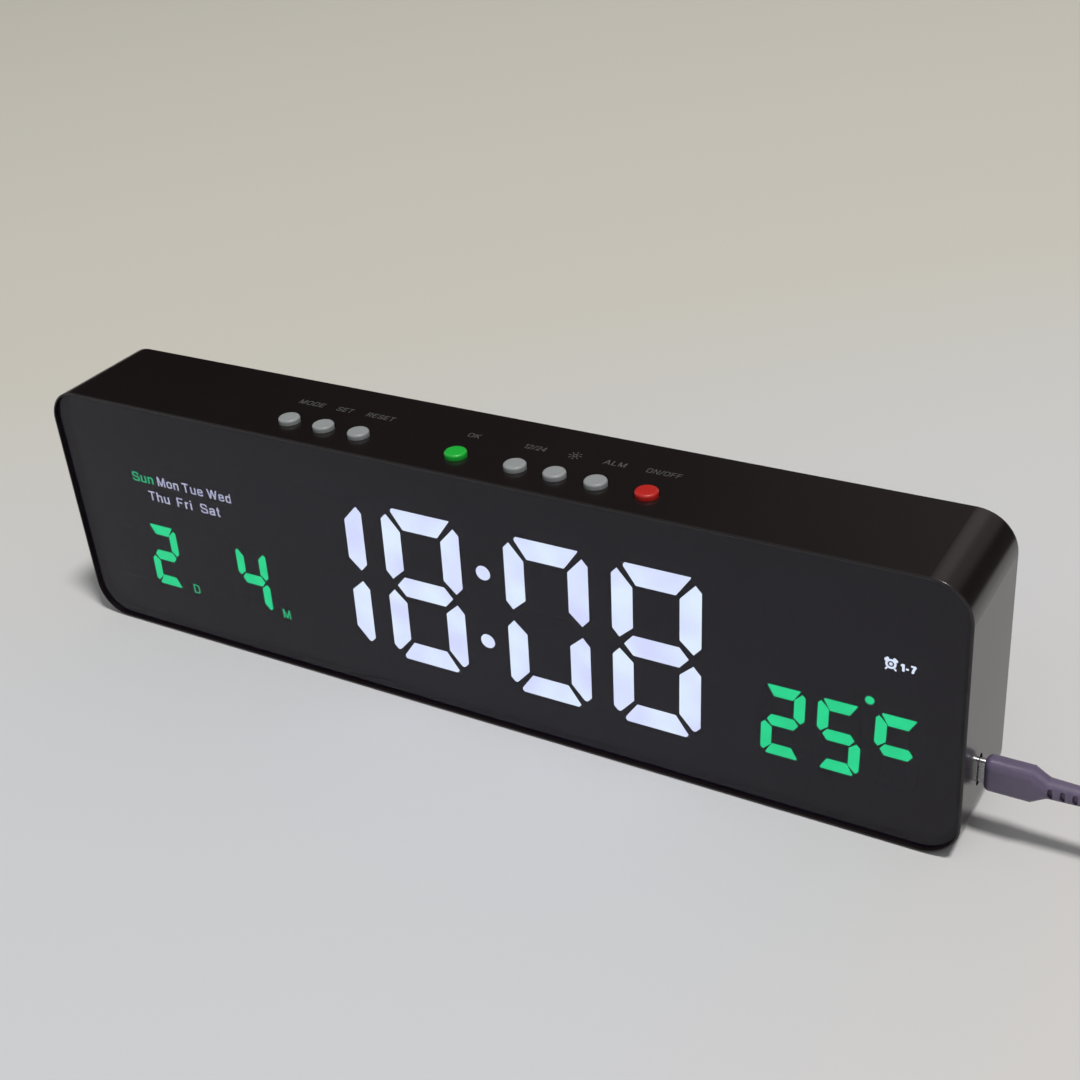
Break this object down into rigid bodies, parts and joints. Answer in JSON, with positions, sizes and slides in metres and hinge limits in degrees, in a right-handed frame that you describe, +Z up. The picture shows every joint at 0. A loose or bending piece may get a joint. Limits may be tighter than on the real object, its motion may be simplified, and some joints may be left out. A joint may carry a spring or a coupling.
{
  "type": "digital led desk clock",
  "caption": "Low wide desk clock: smoked front panel with lit seven-segment time, date and temperature, push buttons on top and a USB cable at one side.",
  "frame": {"origin": "middle of the underside of the case", "axes": "+X to the viewer's right along the long side, +Y to the back, +Z up"},
  "size_m": [0.5155, 0.0588, 0.0916],
  "materials": {
    "black_gloss": "satin-gloss moulded black plastic",
    "black_matt": "fine-textured moulded black plastic",
    "smoked_panel": "polished smoked acrylic",
    "white_lit": "milky diffuser, lit cool white",
    "green_lit": "milky diffuser, lit green",
    "dark_diffuser": "tinted diffuser, unlit",
    "circuit_board": "green solder mask on glass-fibre board",
    "chip_black": "moulded chip black",
    "led_white": "small white light-emitting diode bodies",
    "steel": "nickel-plated steel",
    "switch_body": "black switch plastic",
    "ribbon_white": "white plastic",
    "key_grey": "satin grey plastic",
    "key_green": "satin green plastic",
    "key_red": "satin red plastic",
    "lead_red": "insulated wire",
    "cable_violet": "soft grey-violet cable jacket",
    "tie_black": "black hook-and-loop strap"
  },
  "bodies": {
    "case": {"housing": "black_gloss", "rear_cover": "black_matt", "light_frame": "black_matt", "front_panel": "smoked_panel", "hour_tens_segments": "white_lit", "hour_units_segments": "white_lit", "minute_tens_segments": "white_lit", "minute_units_segments": "white_lit", "colon_dots": "white_lit", "day_segments": "green_lit", "month_segments": "green_lit", "temperature_segments": "green_lit", "unlit_segments": "dark_diffuser", "legend_windows": "dark_diffuser", "main_board": "circuit_board", "key_board": "circuit_board", "display_drivers": "chip_black", "controller_chip": "chip_black", "buzzer": "chip_black", "temperature_sensor": "chip_black", "socket_tongue": "chip_black", "segment_leds": "led_white", "clock_crystal": "steel", "capacitors": "steel", "board_screws": "steel", "key_board_screws": "steel", "rear_screws": "steel", "coin_cell": "steel", "cell_contact": "steel", "usb_socket": "steel", "key_switches": "switch_body", "key_ribbon": "ribbon_white", "ribbon_socket": "ribbon_white", "cell_leads": "lead_red"},
    "mode_key": {"mode_button": "key_grey", "mode_plunger": "switch_body"},
    "set_key": {"set_button": "key_grey", "set_plunger": "switch_body"},
    "reset_key": {"reset_button": "key_grey", "reset_plunger": "switch_body"},
    "ok_key": {"ok_button": "key_green", "ok_plunger": "switch_body"},
    "hour_format_key": {"hour_format_button": "key_grey", "hour_format_plunger": "switch_body"},
    "brightness_key": {"brightness_button": "key_grey", "brightness_plunger": "switch_body"},
    "alarm_key": {"alarm_button": "key_grey", "alarm_plunger": "switch_body"},
    "power_key": {"power_button": "key_red", "power_plunger": "switch_body"},
    "cell_lid": {"battery_door": "black_matt"},
    "cable": {"plug_shell": "steel", "plug_grip": "cable_violet", "cord": "cable_violet", "cord_coil": "cable_violet", "coil_tie": "tie_black", "far_plug_grip": "cable_violet", "far_plug_shell": "steel", "far_plug_insert": "ribbon_white"}
  },
  "joints": [
    {"name": "mode_press", "type": "slide", "parent": "case", "child": "mode_key", "axis": [0, 0, -1], "range_m": [0, 0.0005], "stiffness_N_per_m": 3000},
    {"name": "set_press", "type": "slide", "parent": "case", "child": "set_key", "axis": [0, 0, -1], "range_m": [0, 0.0005], "stiffness_N_per_m": 3000},
    {"name": "reset_press", "type": "slide", "parent": "case", "child": "reset_key", "axis": [0, 0, -1], "range_m": [0, 0.0005], "stiffness_N_per_m": 3000},
    {"name": "ok_press", "type": "slide", "parent": "case", "child": "ok_key", "axis": [0, 0, -1], "range_m": [0, 0.0005], "stiffness_N_per_m": 3000},
    {"name": "hour_format_press", "type": "slide", "parent": "case", "child": "hour_format_key", "axis": [0, 0, -1], "range_m": [0, 0.0005], "stiffness_N_per_m": 3000},
    {"name": "brightness_press", "type": "slide", "parent": "case", "child": "brightness_key", "axis": [0, 0, -1], "range_m": [0, 0.0005], "stiffness_N_per_m": 3000},
    {"name": "alarm_press", "type": "slide", "parent": "case", "child": "alarm_key", "axis": [0, 0, -1], "range_m": [0, 0.0005], "stiffness_N_per_m": 3000},
    {"name": "power_press", "type": "slide", "parent": "case", "child": "power_key", "axis": [0, 0, -1], "range_m": [0, 0.0005], "stiffness_N_per_m": 3000},
    {"name": "cell_lid_twist", "type": "hinge", "parent": "case", "child": "cell_lid", "pos_m": [0.06198, 0.0192, 0.045], "axis": [0, 1, 0], "range_deg": [0, 90]},
    {"name": "plug_pull", "type": "slide", "parent": "case", "child": "cable", "axis": [1, 0, 0], "range_m": [0, 0.008]}
  ]
}
